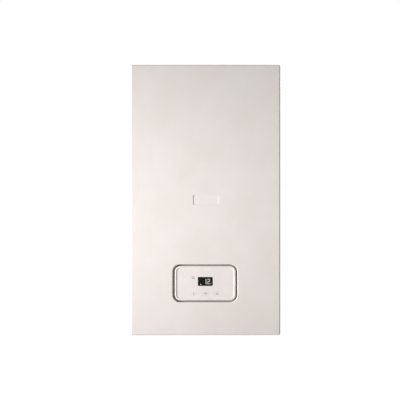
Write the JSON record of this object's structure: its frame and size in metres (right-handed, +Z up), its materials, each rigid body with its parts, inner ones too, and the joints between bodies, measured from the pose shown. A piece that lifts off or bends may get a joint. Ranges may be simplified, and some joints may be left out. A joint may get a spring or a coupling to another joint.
{
  "type": "combi boiler",
  "caption": "Wall-hung condensing combi boiler: painted steel casing with a recessed control panel, fold-down control box, flue collar on top and pipe stubs below.",
  "frame": {"origin": "middle of the wall bracket's rear face, on the wall plane", "axes": "+Z up, +Y into the wall, so the front of the boiler faces -Y and +X is to the right seen from the front"},
  "size_m": [0.41, 0.31, 0.747],
  "materials": {
    "white_paint": "semi-gloss warm white powder coat",
    "fascia_plastic": "smooth warm white",
    "groove_plastic": "fine satin light grey",
    "display_glass": "glossy near-black window",
    "key_plastic": "smooth warm white",
    "grey_plastic": "moulded, fine grain",
    "black_plastic": "moulded, fine grain",
    "red_plastic": "smooth",
    "circuit_board": "green solder mask",
    "galvanised": "spangled zinc",
    "stainless": "brushed",
    "cast_aluminium": "as cast",
    "brass": "machined",
    "copper": "drawn copper tube, slightly tarnished",
    "vessel_paint": "red enamel",
    "ceramic": "glazed off-white",
    "pump_paint": "dark grey enamel"
  },
  "bodies": {
    "root": {"rear_frame": "galvanised", "hanging_bracket": "galvanised", "left_side_panel": "white_paint", "right_side_panel": "white_paint", "top_panel": "white_paint", "bottom_plate": "galvanised", "hinge_bracket_left": "galvanised", "hinge_bracket_right": "galvanised", "cable_gland": "black_plastic", "flue_collar": "black_plastic", "exhaust_duct": "grey_plastic", "heat_exchanger": "stainless", "heat_exchanger_coil": "stainless", "burner_door": "cast_aluminium", "burner_tube": "stainless", "ignition_electrode": "ceramic", "fan_scroll": "cast_aluminium", "fan_motor": "black_plastic", "gas_air_manifold": "cast_aluminium", "gas_valve": "cast_aluminium", "gas_pipe": "copper", "gas_injector_pipe": "copper", "air_silencer": "black_plastic", "condensate_trap": "grey_plastic", "condensate_hose": "black_plastic", "expansion_vessel": "vessel_paint", "expansion_pipe": "copper", "pump_housing": "pump_paint", "pump_motor": "pump_paint", "air_vent": "brass", "plate_heat_exchanger": "stainless", "flow_block": "brass", "return_block": "brass", "diverter_actuator": "black_plastic", "flow_pipe": "copper", "return_pipe": "copper", "safety_valve": "brass", "heating_flow_stub": "brass", "hot_water_stub": "brass", "cold_water_stub": "brass", "heating_return_stub": "brass"},
    "front_casing": {"front_casing": "white_paint", "badge_plate": "fascia_plastic", "casing_screw_left": "stainless", "casing_screw_right": "stainless"},
    "control_box": {"control_fascia": "fascia_plastic", "bezel_ring": "groove_plastic", "display_window": "display_glass", "display_board": "circuit_board", "control_housing": "grey_plastic", "control_rear_cover": "grey_plastic", "main_circuit_board": "circuit_board"},
    "key_reset": {"key_reset": "key_plastic"},
    "key_mode": {"key_mode": "key_plastic"},
    "key_down": {"key_down": "key_plastic"},
    "key_up": {"key_up": "key_plastic"},
    "fan_impeller": {"fan_impeller": "black_plastic"},
    "pump_impeller": {"pump_impeller": "stainless"},
    "safety_valve_knob": {"safety_valve_knob": "red_plastic"},
    "filling_tap_knob": {"filling_tap_knob": "black_plastic"}
  },
  "joints": [
    {"name": "casing_slide", "type": "slide", "parent": "root", "child": "front_casing", "axis": [0, -1, 0], "range_m": [0, 0.45]},
    {"name": "control_box_fold", "type": "hinge", "parent": "root", "child": "control_box", "pos_m": [0, -0.255, -0.622], "axis": [1, 0, 0], "range_deg": [0, 90]},
    {"name": "key_reset_press", "type": "slide", "parent": "control_box", "child": "key_reset", "axis": [0, 1, 0], "range_m": [0, 0.0009], "stiffness_N_per_m": 600, "springref_m": -0.0005},
    {"name": "key_mode_press", "type": "slide", "parent": "control_box", "child": "key_mode", "axis": [0, 1, 0], "range_m": [0, 0.0009], "stiffness_N_per_m": 600, "springref_m": -0.0005},
    {"name": "key_down_press", "type": "slide", "parent": "control_box", "child": "key_down", "axis": [0, 1, 0], "range_m": [0, 0.0009], "stiffness_N_per_m": 600, "springref_m": -0.0005},
    {"name": "key_up_press", "type": "slide", "parent": "control_box", "child": "key_up", "axis": [0, 1, 0], "range_m": [0, 0.0009], "stiffness_N_per_m": 600, "springref_m": -0.0005},
    {"name": "fan_spin", "type": "hinge", "parent": "root", "child": "fan_impeller", "pos_m": [0.128, -0.178, -0.275], "axis": [0, 1, 0], "continuous": true},
    {"name": "pump_spin", "type": "hinge", "parent": "root", "child": "pump_impeller", "pos_m": [0.12, -0.12, -0.51], "axis": [0, 1, 0], "continuous": true},
    {"name": "safety_valve_turn", "type": "hinge", "parent": "root", "child": "safety_valve_knob", "pos_m": [-0.15, -0.19, -0.578], "axis": [0, -1, 0], "range_deg": [0, 90]},
    {"name": "filling_tap_turn", "type": "hinge", "parent": "root", "child": "filling_tap_knob", "pos_m": [0.105, -0.165, -0.66], "axis": [0, 0, 1], "range_deg": [0, 90]}
  ],
  "couplings": [
    {"joint": "control_box_fold", "follows": "casing_slide", "rad_per_m": 3.4906}
  ]
}
